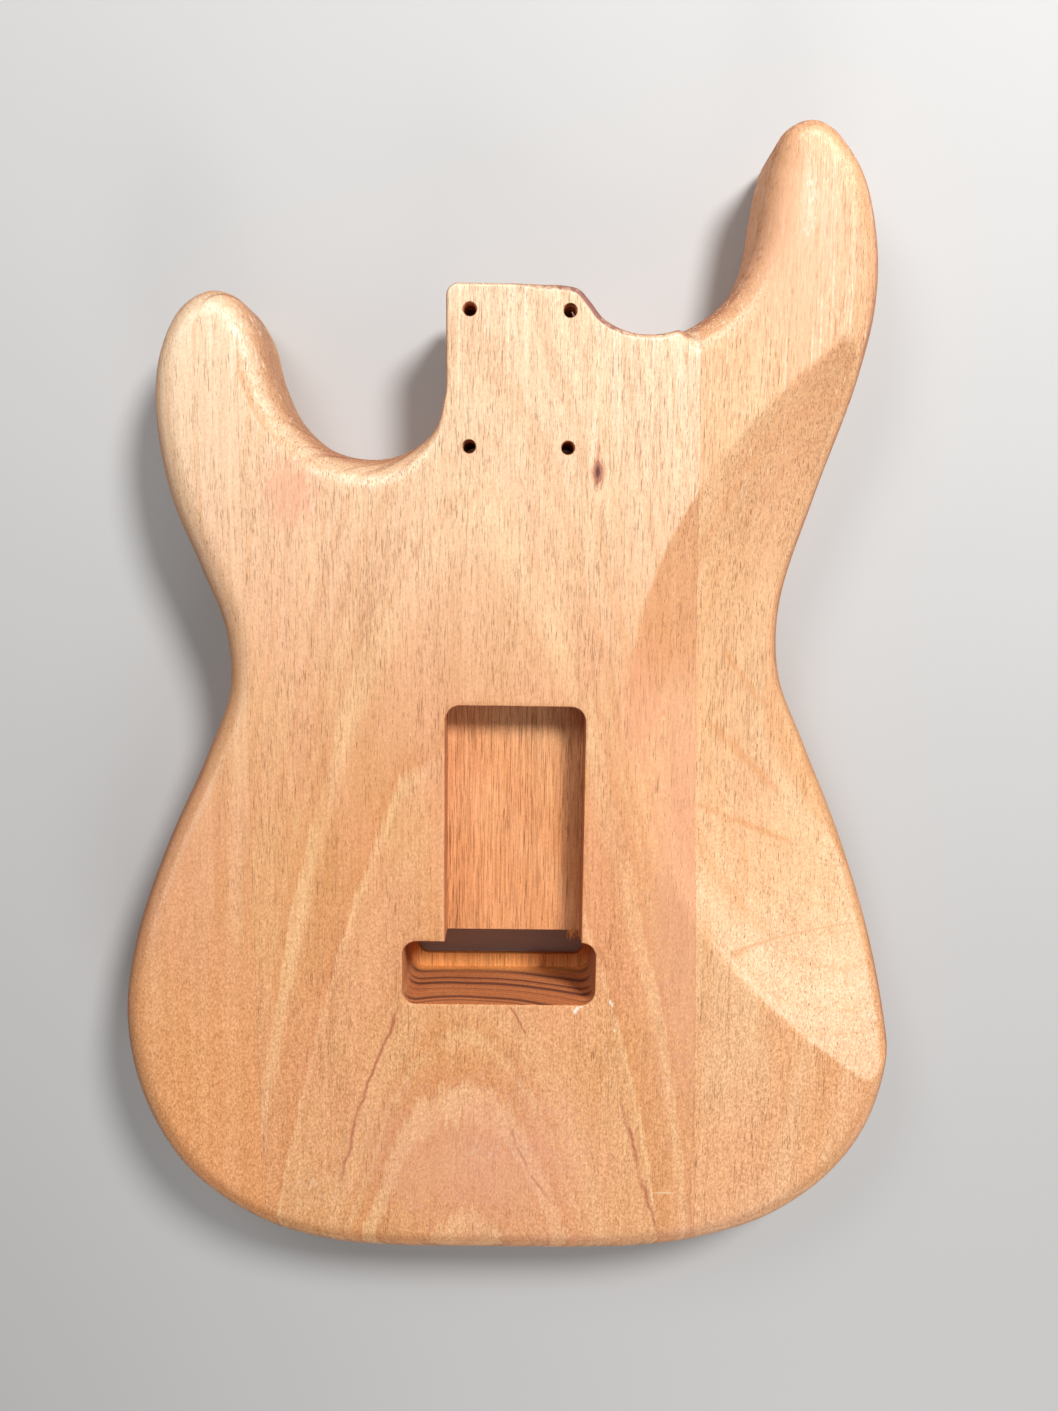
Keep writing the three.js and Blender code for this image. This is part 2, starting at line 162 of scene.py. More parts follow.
def edgeRoom(points, normals, spread=6):
    # radius of the largest circle that touches the outline from inside at each point
    room = np.empty(len(points))
    for i, (point, normal) in enumerate(zip(points, normals)):
        gap = point - points
        depth = gap @ normal
        behind = depth > 1e-6
        room[i] = np.min(np.sum(gap[behind] ** 2, axis=1) / (2 * depth[behind]))
    lowest = np.min([np.roll(room, k) for k in range(-spread, spread + 1)], axis=0)
    return np.mean([np.roll(lowest, k) for k in range(-spread, spread + 1)], axis=0)


# The belly contour is a hollow trough cut down towards the bass edge of the back,
# the forearm contour a flat slope on the front
contours = {
    "bellyFromCentre": 44.7,
    "bellyUp": 241,
    "bellyHalfSpan": 218,
    "bellySag": 69,
    "bellyTilt": 11.9,
    "bellyRim": 6.0,
    "creaseWidth": .25,
    "creaseSoftening": 1.9,
    "creaseSoftAt": 215,
    "creaseSoftSpan": 50,
    "creaseRows": (-5, -2.4, -1.2, -.5, 0, .5, 1.2, 2.4, 5),
    "creaseFrom": 70,
    "creaseTo": 402,
    "creaseSpacing": 1.6,
    "forearmAtButt": (48, 0),
    "forearmTop": (112, 262),
    "forearmTilt": 9.5,
    "forearmRim": 6.0,
    "forearmBlend": 1.2,
}


def softMinimum(a, b, blend):
    share = np.clip(.5 + .5 * (b - a) / blend, 0, 1)
    return b * (1 - share) + a * share - blend * share * (1 - share)


def rimDrop(inset, radius):
    reach = np.clip(radius - inset, 0, radius)
    return radius - np.sqrt(np.maximum(radius * radius - reach * reach, 0))


def bellyRise(y):
    up = np.clip((y - contours["bellyUp"]) / contours["bellyHalfSpan"], -.999, .999)
    return contours["bellySag"] * (1 - np.sqrt(1 - up * up))


def bellyHeight(x, y):
    tilt = math.radians(contours["bellyTilt"])
    down = (x - contours["bellyFromCentre"]) * math.tan(tilt)
    return body["thickness"] - down + bellyRise(y) / math.cos(tilt)


def bellyCrease(y):
    return contours["bellyFromCentre"] + bellyRise(y) / math.sin(math.radians(contours["bellyTilt"]))


def forearmHeight(x, y):
    start = np.array(contours["forearmAtButt"], float)
    along = np.array(contours["forearmTop"]) - start
    along /= np.linalg.norm(along)
    distance = (x - start[0]) * along[1] - (y - start[1]) * along[0]
    return distance * math.tan(math.radians(contours["forearmTilt"]))


def backHeight(x, y, inset, radius):
    # the crease is crisp at both ends and sanded away in its middle
    flat = body["thickness"] - rimDrop(inset, radius)
    belly = bellyHeight(x, y) - rimDrop(inset, contours["bellyRim"])
    softened = np.exp(-((y - contours["creaseSoftAt"]) / contours["creaseSoftSpan"]) ** 2)
    return softMinimum(flat, belly, contours["creaseWidth"] + contours["creaseSoftening"] * softened)


def frontHeight(x, y, inset, radius):
    flat = rimDrop(inset, radius)
    slope = forearmHeight(x, y) + rimDrop(inset, contours["forearmRim"])
    return -softMinimum(-flat, -slope, contours["forearmBlend"])


def insideLoop(points, loop, margin):
    # the points that pass an even-odd test and are no nearer to the loop than the margin
    points = np.array(points)
    inside = np.zeros(len(points), bool)
    nearest = np.full(len(points), 1e9)
    for (x1, y1), (x2, y2) in zip(loop, np.roll(loop, -1, axis=0)):
        crosses = (y1 > points[:, 1]) != (y2 > points[:, 1])
        if y1 != y2:
            inside ^= crosses & (points[:, 0] < (x2 - x1) * (points[:, 1] - y1) / (y2 - y1) + x1)
        nearest = np.minimum(nearest, (points[:, 0] - x1) ** 2 + (points[:, 1] - y1) ** 2)
    return points[inside & (nearest > margin * margin)]


def placed(name, data):
    thing = bpy.data.objects.new(name, data)
    bpy.context.scene.collection.objects.link(thing)
    return thing


def meshObject(name, points, faces, past=False):
    # a cutter may run past the box of the solids, a piece may not
    spots = (np.array(points) + body["middle"]) / 1000
    if not past:
        spots = np.clip(spots, *cadBounds)
    mesh = bpy.data.meshes.new(name)
    mesh.from_pydata([tuple(spot) for spot in spots], [], faces)
    mesh.validate()
    return placed(name, mesh)


def bandFaces(rows, count):
    # quads between neighbouring rows, each a closed loop of points
    faces = []
    for low in range(0, (rows - 1) * count, count):
        for column in range(count):
            following = (column + 1) % count
            faces.append((low + column, low + following, low + count + following, low + count + column))
    return faces


def faceNet(loop):
    # a fine triangular net inside the loop, with rows of points along the crease
    step = body["gridSpacing"]
    net = []
    for j, y in enumerate(np.arange(loop[:, 1].min(), loop[:, 1].max(), step * .866)):
        for x in np.arange(loop[:, 0].min() + (j % 2) * step / 2, loop[:, 0].max(), step):
            net.append((x, y))
    crease = []
    for offset in contours["creaseRows"]:
        for y in np.arange(contours["creaseFrom"], contours["creaseTo"], contours["creaseSpacing"]):
            crease.append((bellyCrease(y) + offset, y))
    net = insideLoop(net, loop, 1.6)
    clear = np.abs(net[:, 0] - bellyCrease(net[:, 1])) > contours["creaseRows"][-1] + 1.2
    return np.vstack([insideLoop(crease, loop, 1.0), net[clear]])


def sandedBlank():
    # rows of points run round both rounded edges, and a fine net fills each face inside them
    outline = bodyOutline()
    points = outline[:, :2]
    normals = outwardNormals(points)
    radius = np.minimum(outline[:, 2], .9 * edgeRoom(points, normals))
    count = len(outline)

    def rowAt(inset, height):
        p = points - normals * inset[:, None]
        return np.column_stack([p, height(p[:, 0], p[:, 1], inset, radius)])

    angles = np.linspace(0, math.pi / 2, body["roundoverSteps"] + 1)
    insets = [radius * (1 - math.cos(angle)) for angle in angles]
    front = [rowAt(inset, frontHeight) for inset in insets[::-1]]
    back = [rowAt(inset, backHeight) for inset in insets]
    sides = [front[-1] + (back[0] - front[-1]) * share for share in (.25, .5, .75)]
    rows = front + sides + back
    loop = rows[-1][:, :2]
    flatPoints = [Vector(spot) for spot in np.vstack([loop, faceNet(loop)])]
    edges = [(i, (i + 1) % count) for i in range(count)]
    flat, _, triangles, original = delaunay_2d_cdt(flatPoints, edges, [], 1, 1e-5)[:4]
    flat = np.array(flat)
    vertices = list(np.vstack(rows))
    faces = bandFaces(len(rows), count)
    inside = 2 * body["edgeRadius"]
    for height, rim in ((frontHeight, 0), (backHeight, (len(rows) - 1) * count)):
        heights = height(flat[:, 0], flat[:, 1], inside, body["edgeRadius"])
        index = {}
        for i, sources in enumerate(original):
            if sources and sources[0] < count:
                index[i] = rim + sources[0]
            else:
                index[i] = len(vertices)
                vertices.append(np.array([*flat[i], heights[i]]))
        for triangle in triangles:
            corners = triangle if rim else triangle[::-1]
            faces.append(tuple(index[i] for i in corners))
    print("sanded blank:", len(vertices), "points,", len(faces), "faces")
    return meshObject("blank", vertices, faces)


# Everything that is routed or drilled. mouth is how much the sandpaper eased the edges, past how far a
# cutter runs on outside the wood, sharpAngle the bend in degrees that still looks smooth.
routing = {
    "mouth": .45,
    "floorFillet": .3,
    "cornerSteps": 10,
    "past": 6,
    "sharpAngle": 32,
    "boltHole": 5,
    "boltHolesX": (-19.05, 19.05),
    "boltHolesY": (390.7, 339.9),
}


def arc(x, y, radius, start, turn, steps):
    angles = np.radians(np.linspace(start, start + turn, steps + 1))
    return [(x + radius * math.cos(angle), y + radius * math.sin(angle)) for angle in angles]


def roundedCorners(left, right, bottom, top, radius, grow):
    loop = []
    corners = [(right - radius, bottom + radius, -90), (right - radius, top - radius, 0),
               (left + radius, top - radius, 90), (left + radius, bottom + radius, 180)]
    for x, y, start in corners:
        loop += arc(x, y, radius + grow, start, 90, routing["cornerSteps"])
    return loop


def roundEnds(start, end, width, grow):
    heading = math.degrees(math.atan2(end[1] - start[1], end[0] - start[0]))
    loop = []
    for (x, y), turn in ((end, heading - 90), (start, heading + 90)):
        loop += arc(x, y, width / 2 + grow, turn, 180, 2 * routing["cornerSteps"])
    return loop


def stackedLoops(name, loops, heights):
    # a closed solid through loops of the same count, from the lowest to the highest
    count = len(loops[0])
    vertices = [(x, y, z) for loop, z in zip(loops, heights) for x, y in loop]
    return closedTube(name, vertices, count)


def closedTube(name, vertices, count):
    caps = [tuple(range(count))[::-1], tuple(range(len(vertices) - count, len(vertices)))]
    return meshObject(name, vertices, caps + bandFaces(len(vertices) // count, count), past=True)


def routed(name, path, sizes, depth, fromBack):
    # path(*sizes, grow) is the outline, grown at the eased mouth and drawn in at the floor's fillet
    mouth, fillet, past = routing["mouth"], routing["floorFillet"], routing["past"]
    surface = body["thickness"]
    steps = [(0, -past)]
    if depth is not None:
        steps = [(-fillet * (1 - math.sin(angle)), surface - depth + fillet * (1 - math.cos(angle)))
                 for angle in np.radians([0, 30, 60, 90])]
    for angle in np.radians([0, 22.5, 45, 67.5, 90]):
        steps.append((mouth * (1 - math.cos(angle)), surface - mouth + mouth * math.sin(angle)))
    steps.append((mouth, surface + past))
    if not fromBack:
        steps = [(grow, surface - z) for grow, z in steps[::-1]]
    return stackedLoops(name, [path(*sizes, grow) for grow, z in steps], [z for grow, z in steps])


def drilled(name, start, end, diameter, sides=28):
    start, end = np.array(start, float), np.array(end, float)
    along = (end - start) / np.linalg.norm(end - start)
    across = np.cross(along, (0, 0, 1))
    across /= np.linalg.norm(across)
    third = np.cross(along, across)
    vertices = []
    for centre in (start, end):
        for angle in np.arange(sides) * 2 * math.pi / sides:
            outwards = math.cos(angle) * across + math.sin(angle) * third
            vertices.append(centre + diameter / 2 * outwards)
    return closedTube(name, vertices, sides)


def boltHole(x, y):
    # straight through, with a small chamfer at the back: each step is (grow, height)
    back, past = body["thickness"], routing["past"]
    steps = [(0, -past), (0, back - .5), (.12, back - .3), (.3, back), (.3, back + past)]
    loops = [roundEnds((x, y), (x + .001, y), routing["boltHole"], grow) for grow, z in steps]
    return stackedLoops("boltHole", loops, [z for grow, z in steps])


# name, kind of outline and its sizes, depth (None goes right through) and whether from the back
slotTop = 141.4
pockets = [
    ("neckPocket", roundedCorners, (-28.2, 28.2, 324.3, 412, 4.8), 15.9, False),
    ("bridgeSlot", roundedCorners, (-43, 31.6, slotTop - 20.6, slotTop, 5), None, False),
    ("blockPocket", roundedCorners, (-45.55, 34.15, slotTop - 26.7, slotTop, 6), 41.05, True),
    ("springCavity", roundedCorners, (-28.1, 28.1, slotTop - 10.3, slotTop + 97.7, 6), 15.9, True),
    ("neckPickup", roundedCorners, (-45, 45, 289, 311, 8), 19, False),
    ("middlePickup", roundedCorners, (-45, 45, 225, 247, 8), 19, False),
    ("bridgePickup", roundedCorners, (-46, 46, 166, 206, 8), 19, False),
    ("wireChannel", roundEnds, ((-24, 300), (-24, 186), 14), 16, False),
    ("switchCavity", roundEnds, ((-61, 211), (-60, 166), 38), 32, False),
    ("potCavity", roundEnds, ((-60, 166), (-79, 96), 38), 32, False),
    ("jackRecess", roundEnds, ((-108, 74), (-124, 50), 22), 28, False),
]
# name, start, end and diameter
wireHoles = [
    ("jackWire", (-108, 74, 14), (-79, 96, 14), 9.5),
    ("groundWire", (-23.1, 219.1, 36.5), (-61, 211, 23.5), 5),
]


def makeCutters():
    cutters = [routed(*pocket) for pocket in pockets] + [drilled(*hole) for hole in wireHoles]
    return cutters + [boltHole(x, y) for x in routing["boltHolesX"] for y in routing["boltHolesY"]]


def combine(target, tool, operation):
    modifier = target.modifiers.new("cut", "BOOLEAN")
    modifier.operation = operation
    modifier.solver = "MANIFOLD"
    modifier.object = tool
    modifier.material_mode = "TRANSFER"
    graph = bpy.context.evaluated_depsgraph_get()
    cut = target.evaluated_get(graph)
    mesh = bpy.data.meshes.new_from_object(cut, preserve_all_data_layers=True, depsgraph=graph)
    target.modifiers.remove(modifier)
    old = target.data
    target.data = mesh
    bpy.data.meshes.remove(old)


def overlaps(a, b):
    corners = []
    for piece in (a, b):
        spots = np.array([vertex.co for vertex in piece.data.vertices])
        corners.append((spots.min(0), spots.max(0)))
    return bool(np.all(corners[0][0] < corners[1][1]) and np.all(corners[1][0] < corners[0][1]))


# The glue lines between the boards, as (x at the butt, x at the heel end), and the gap in each. outside
# and past say how far the blocks that part the boards reach to the sides and past the body.
seams = {
    "treble": (-104.75, -107.85),
    "bass": (78.92, 68.32),
    "gap": .05,
    "outside": 180,
    "past": 10,
}


def boardRoom(left, right):
    # a block that holds one board, and runs past the body above, below and at both ends
    past = seams["past"]
    low, high = -past, body["heelEnd"] + body["hornPastHeel"] + past
    loop = []
    for (atButt, atHeel), y in ((left, low), (right, low), (right, high), (left, high)):
        loop.append((atButt + (atHeel - atButt) * y / body["heelEnd"], y))
    return stackedLoops("room", [loop, loop], [-past, body["thickness"] + past])


def shifted(pair, by):
    return (pair[0] + by, pair[1] + by)


def makeBoards(woods):
    blank = sandedBlank()
    half, outside = seams["gap"] / 2, seams["outside"]
    rooms = {
        "trebleBoard": boardRoom((-outside, -outside), shifted(seams["treble"], -half)),
        "centreBoard": boardRoom(shifted(seams["treble"], half), shifted(seams["bass"], -half)),
        "bassBoard": boardRoom(shifted(seams["bass"], half), (outside, outside)),
    }
    cutters = makeCutters()
    boards = {}
    for name, room in rooms.items():
        boards[name] = placed(name, blank.data.copy())
        boards[name].data.materials.append(woods[name]["sanded"])
        boards[name].data.materials.append(woods[name]["routed"])
        combine(boards[name], room, "INTERSECT")
    for cutter in cutters:
        for name, board in boards.items():
            if overlaps(cutter, board):
                cutter.data.materials.clear()
                cutter.data.materials.append(woods[name]["routed"])
                combine(board, cutter, "DIFFERENCE")
    for tool in [blank, *rooms.values(), *cutters]:
        bpy.data.objects.remove(tool)
    for board in boards.values():
        board.data.shade_smooth()
        board.data.set_sharp_from_angle(angle=math.radians(routing["sharpAngle"]))
    print("boards parted, routed and drilled")
    return boards


# Shader helpers. A new node goes into the tree of the sockets that feed it, or into the one given.
def add(kind, inputs, tree=None, **settings):
    if tree is None:
        tree = next(value.id_data for value in inputs.values() if isinstance(value, NodeSocket))
    node = tree.nodes.new("ShaderNode" + kind)
    for key, value in settings.items():
        setattr(node, key, value)
    for key, value in inputs.items():
        plug(value, node.inputs[key])
    return node.outputs


def plug(value, socket):
    if isinstance(value, NodeSocket):
        socket.id_data.links.new(value, socket)
    else:
        socket.default_value = value


def calc(operation, a, b=0.0):
    return add("Math", {0: a, 1: b}, operation=operation)[0]


def times(*values):
    return reduce(lambda a, b: calc("MULTIPLY", a, b), values)


def plus(*values):
    return reduce(lambda a, b: calc("ADD", a, b), values)


def minus(a, b):
    return calc("SUBTRACT", a, b)


def over(a, b):
    return calc("DIVIDE", a, b)


def absolute(value):
    return calc("ABSOLUTE", value)


def remap(value, fromLow, fromHigh, toLow=0.0, toHigh=1.0, kind="SMOOTHSTEP"):
    ends = {"From Min": fromLow, "From Max": fromHigh, "To Min": toLow, "To Max": toHigh}
    return add("MapRange", {"Value": value, **ends}, interpolation_type=kind)["Result"]


def linear(value, fromLow, fromHigh, toLow, toHigh):
    return remap(value, fromLow, fromHigh, toLow, toHigh, "LINEAR")


def centred(value, amount):
    # a noise from 0 to 1 made to swing the same way to both sides
    return times(minus(value, .5), amount)


def vectorMath(operation, a, b):
    return add("VectorMath", {0: a, 1: b}, operation=operation)["Vector"]


def combined(x, y, z):
    return add("CombineXYZ", {"X": x, "Y": y, "Z": z})[0]


def axesOf(vector):
    return add("SeparateXYZ", {0: vector})


def seededPlace(place, seed):
    return vectorMath("ADD", place, combined(seed, seed, seed))


def noise(place, across, along, detail, roughness):
    # across and along say how fine it is over the grain and with the grain, which runs along Y
    grain = vectorMath("MULTIPLY", place, (across, along, across))
    inputs = {"Vector": grain, "Scale": 1, "Detail": detail, "Roughness": roughness}
    return add("TexNoise", inputs)["Fac"]


def ringNoise(age, detail, roughness):
    inputs = {"W": age, "Scale": 1, "Detail": detail, "Roughness": roughness}
    return add("TexNoise", inputs, noise_dimensions="1D")["Fac"]


def mixColour(factor, a, b, blend="MIX"):
    # 0, 6, 7 and 2 are the node's sockets for the factor, both colours and the result
    return add("Mix", {0: factor, 6: a, 7: b}, data_type="RGBA", blend_type=blend)[2]


def makeGroup(name, build, inputs):
    # build turns the group's input sockets into its outputs; an input of None is a vector
    tree = bpy.data.node_groups.new(name, "ShaderNodeTree")
    for label, value in inputs.items():
        kind = "NodeSocketVector" if value is None else "NodeSocketFloat"
        socket = tree.interface.new_socket(label, in_out="INPUT", socket_type=kind)
        if value is not None:
            socket.default_value = value
    made = build(tree.nodes.new("NodeGroupInput").outputs)
    for label, value in made.items():
        kind = "NodeSocketVector" if value.type == "VECTOR" else "NodeSocketFloat"
        tree.interface.new_socket(label, in_out="OUTPUT", socket_type=kind)
    ends = tree.nodes.new("NodeGroupOutput").inputs
    for label, value in made.items():
        plug(value, ends[label])
    return tree


def useGroup(group, inputs):
    return add("Group", inputs, node_tree=groups[group])


def bodyPlace(given):
    # the place in the wood, in millimetres from the centre line, the butt and the front face
    x, y, z = body["middle"]
    scaled = vectorMath("MULTIPLY", given["Spot"], (1000, 1000, 1000))
    return {"Place": vectorMath("ADD", scaled, (-x, -y, -z))}


def growthRings(given):
    # distance from a pith that leans and bows along the board, torn a little along the grain
    seeded = seededPlace(given["Place"], given["Seed"])
    tear = centred(noise(seeded, .65, .018, 2, .7), given["Tear"])
    drift = centred(noise(seeded, .02, .008, 2, .5), given["Wander"])
    axes = axesOf(given["Place"])
    y = plus(axes["Y"], tear)
    pith = plus(given["Pith Height"], times(y, given["Pith Lean"]), times(y, y, given["Pith Bow"]))
    dz = minus(axes["Z"], pith)
    dx = minus(axes["X"], given["Pith Across"])
    distance = calc("SQRT", plus(times(dx, dx), times(dz, dz)))
    return {"Age": plus(distance, drift, times(tear, .03))}


def ringBands(given):
    # uneven light and dark bands of growth, thin lines of late wood between them, and rings that
    # grow lighter and end sharply
    wide = plus(over(given["Age"], given["Band Width"]), given["Seed"])
    fine = plus(over(given["Age"], given["Line Width"]), given["Seed"])
    bands = ringNoise(wide, 2, .6)
    lines = ringNoise(fine, 1, .5)
    uneven = plus(times(wide, 1.6), centred(lines, .5))
    ramp = calc("POWER", calc("FRACT", uneven), 2.5)
    return {
        "Bands": remap(bands, .25, .75),
        "Lines": remap(lines, .52, .6),
        "Rings": times(ramp, remap(bands, .45, .6)),
    }


def woodFibres(given):
    # silky fibres, long soft streaks along the grain and a few thin pale lines
    place = seededPlace(given["Place"], given["Seed"])
    return {
        "Fibre": noise(place, 1.0, .035, 3, .75),
        "Streaks": noise(place, .34, .007, 3, .65),
        "Pale Lines": remap(noise(place, .9, .009, 1, .5), .6, .72),
    }


def openPores(given):
    # dashes along the grain, round in the end grain, crowded in places
    place = seededPlace(given["Place"], given["Seed"])
    crowd = centred(noise(place, .07, .012, 2, .6), 2.2)
    sway = centred(noise(place, .08, .02, 1, .5), 3)
    slip = centred(noise(place, 1.9, .01, 1, .5), 9)
    scale = combined(given["Per Width"], given["Per Length"], given["Per Width"])
    swayed = vectorMath("ADD", vectorMath("MULTIPLY", place, scale), combined(sway, slip, 0))
    cells = add("TexVoronoi", {"Vector": swayed, "Scale": 1, "Randomness": 1})
    chance = add("SeparateColor", {0: cells["Color"]})
    size = times(given["Size"], linear(chance["Red"], 0, 1, .6, 1.3))
    inside = remap(minus(cells["Distance"], size), .08, -.06)
    kept = calc("LESS_THAN", chance["Green"], plus(given["Crowding"], crowd))
    return {"Pores": times(inside, kept, linear(chance["Blue"], 0, 1, .55, 1))}


def edgeWood(given):
    # where the surface turns away from the face: the rounded rim, darkened partly by its own colour and
    # partly by painted shade that is less where it faces the butt, the crisp edge of the back, end
    # grain, how far a slope of the face leans towards the neck, which drives painted light on slopes
    # facing the neck and painted shade on those facing the butt, and Shaded Slope, a tilt to the bass
    # side that drives painted shade
    axes = axesOf(given["Normal"])
    upright = absolute(axes["Z"])
    shallow = remap(upright, .86, .94)
    atBack = remap(axesOf(given["Place"])["Z"], 39.5, 42)
    return {
        "Rim": times(remap(upright, .96, .42), remap(axes["Y"], -.9, -.1, .2, 1)),
        "Edge": times(remap(upright, .9995, .95), atBack),
        "End Grain": remap(absolute(axes["Y"]), .2, .95),
        "Lean": plus(times(linear(axes["Y"], -.24, .18, -.5, .375), shallow), .5),
        "Slope": times(remap(axes["X"], .06, .17), shallow),
    }


def stainLine(given):
    # one dark line: from its top it leans and bows on the way to the butt
    axes = axesOf(given["Place"])
    run = over(minus(given["Top Up"], axes["Y"]), given["Length"])
    bow = times(given["Bow"], run, minus(run, 1.0))
    middle = plus(given["Top Across"], times(given["Lean"], run), bow, centred(given["Waver"], 6))
    line = remap(over(absolute(minus(axes["X"], middle)), given["Width"]), 1.0, 0.0)
    ends = times(remap(run, -.03, .06), remap(run, 1.03, .75))
    broken = remap(given["Waver"], .3, .5, .35, 1)
    high = remap(minus(axes["Z"], given["Down To"]), 0, 8)
    return {"Mask": times(line, broken, ends, high)}


def pinKnot(given):
    # a small almond-shaped knot that pulls the grain round it, with a dark tail along the grain
    axes = axesOf(given["Place"])
    dx = minus(axes["X"], given["Across"])
    u = over(dx, given["Half Width"])
    v = over(minus(axes["Y"], given["Up"]), given["Half Length"])
    ragged = centred(noise(given["Place"], 1.3, .4, 2, .6), .8)
    reach = plus(absolute(u), times(v, v), ragged)
    inner = plus(times(absolute(u), 1.7), times(v, v, 2.4), ragged)
    along = calc("MAXIMUM", times(v, .26), times(v, -.75))
    tail = plus(times(absolute(u), 1.7), along, times(ragged, .6))
    far = plus(times(u, u, .1), times(v, v, .14), 1.0)
    pull = over(times(over(dx, plus(absolute(dx), .8)), 2.6), far)
    return {
        "Core": remap(reach, 1.15, .7),
        "Heart": remap(inner, .95, .3),
        "Halo": calc("MAXIMUM", remap(reach, 1.9, 1.0, 0, .75), remap(tail, 1.3, .5)),
        "Place": combined(minus(axes["X"], pull), axes["Y"], axes["Z"]),
    }


def softPatch(given):
    # a soft uneven patch, for rubbed shine and its painted glints, warm spots and bruises
    axes = axesOf(given["Place"])
    u = over(minus(axes["X"], given["Across"]), given["Half Width"])
    v = over(minus(axes["Y"], given["Up"]), given["Half Length"])
    reach = calc("SQRT", plus(times(u, u), times(v, v)))
    return {"Mask": remap(plus(reach, centred(given["Unevenness"], 2)), 1.1, .3)}


groups = {
    "place": makeGroup("bodyPlace", bodyPlace, {"Spot": None}),
    "rings": makeGroup("growthRings", growthRings, {
        "Place": None, "Pith Across": 0, "Pith Height": 100, "Pith Lean": .1, "Pith Bow": 0,
        "Wander": 6, "Tear": 6, "Seed": 0}),
    "bands": makeGroup("ringBands", ringBands, {
        "Age": 0, "Band Width": 9, "Line Width": 2.6, "Seed": 0}),
    "fibres": makeGroup("fibres", woodFibres, {"Place": None, "Seed": 0}),
    "pores": makeGroup("pores", openPores, {
        "Place": None, "Per Width": 2, "Per Length": .2, "Size": .34, "Crowding": .5, "Seed": 0}),
    "edge": makeGroup("edgeWood", edgeWood, {"Place": None, "Normal": None}),
    "stain": makeGroup("stainLine", stainLine, {
        "Place": None, "Waver": 0, "Top Across": 0, "Top Up": 100, "Length": 60, "Lean": 0, "Bow": 0,
        "Width": .5, "Down To": 34}),
    "knot": makeGroup("pinKnot", pinKnot, {
        "Place": None, "Across": 0, "Up": 0, "Half Width": 2.1, "Half Length": 4.9}),
    "patch": makeGroup("patch", softPatch, {
        "Place": None, "Unevenness": 0, "Across": 0, "Up": 0, "Half Width": 10, "Half Length": 10}),
}
print("node groups built")

# Dark lines, from their upper end down, as (across, up, length, lean, bow, width): resin in the centre
# board, and soft arcs of the figure where the belly contour cuts the bass board
resinLines = {
    "colour": (.43, .095, .045, 1), "strength": .72, "downTo": 34,
    "lines": [(-46, 114, 88, -27, 14, 1.3), (-1, 114, 14, 8, 0, 1.0), (-1, 60, 34, 18, 3, 1.2),
              (46, 74, 66, 18, 0, 1.4)],
}
figureArcs = {
    "colour": (.7, .3, .11, 1), "strength": .5, "downTo": 16,
    "lines": [(79, 233, 34, 34, 0, 4.5), (73, 200, 21, 48, 0, 6), (148, 147, 13, -54, 80, 5),
              (84, 262, 26, 20, 0, 3.5)],
}

# What each board's wood is like, and how much painted sheen pales it towards the neck. Colours are
# linear.
# Rings are circles round a pith, in millimetres.
boardLooks = {
    "trebleBoard": {
        "cream": (.87, .48, .245, 1), "tan": (.77, .36, .15, 1), "pink": (.84, .4, .22, 1),
        "pith": {"Pith Across": -20, "Pith Height": 175, "Pith Lean": .03, "Pith Bow": 0, "Wander": 10},
        "tear": 5, "bandWidth": 9, "lineWidth": 2.4, "neckSheen": .8, "deep": .6,
        "rings": .2, "fibre": .05, "crowding": -.12, "poreDepth": .75, "seed": 31, "stains": None,
    },
    "centreBoard": {
        "cream": (.93, .55, .27, 1), "tan": (.74, .31, .115, 1), "pink": (.86, .38, .2, 1),
        "pith": {"Pith Across": -18.6, "Pith Height": 94.5, "Pith Lean": .25, "Pith Bow": -.00021,
                 "Wander": 6},
        "tear": 20, "bandWidth": 8, "lineWidth": 2.4, "noiseShare": .12, "neckSheen": .74, "deep": .1,
        "rings": .22, "fibre": .07, "crowding": .16, "poreDepth": .85, "seed": 4, "stains": resinLines,
    },
    "bassBoard": {
        "cream": (.9, .56, .305, 1), "tan": (.84, .44, .205, 1), "pink": (.865, .457, .25, 1),
        "pith": {"Pith Across": 85, "Pith Height": -200, "Pith Lean": .01, "Pith Bow": 0, "Wander": 5},
        "tear": 4, "bandWidth": 2.2, "lineWidth": .8, "neckSheen": .06, "deep": .28,
        "rings": .08, "fibre": .07, "crowding": .3, "poreDepth": .85, "seed": 77, "stains": figureArcs,
    },
}

# How light the centre board is at each distance from its pith: the light and dark edges of the
# cathedrals on the back
cathedralTones = [
    (45, .45), (52, .35), (53.5, .8), (54.9, .95), (55.4, .2), (60, .3), (64.2, .15), (65.2, .9),
    (68.2, 1), (68.8, .1), (71.6, .2), (72.2, .85), (72.8, .9), (73.3, .25), (76, .5), (80, .62),
    (86, .5), (92, .55), (95.3, .5), (95.9, 1), (96.5, 1), (97.0, .1), (101, .3), (105.2, .25),
    (107.4, .9), (109.2, 1), (109.9, .3), (114, .45), (119, .6), (124, .44), (130, .56), (150, .5),
]
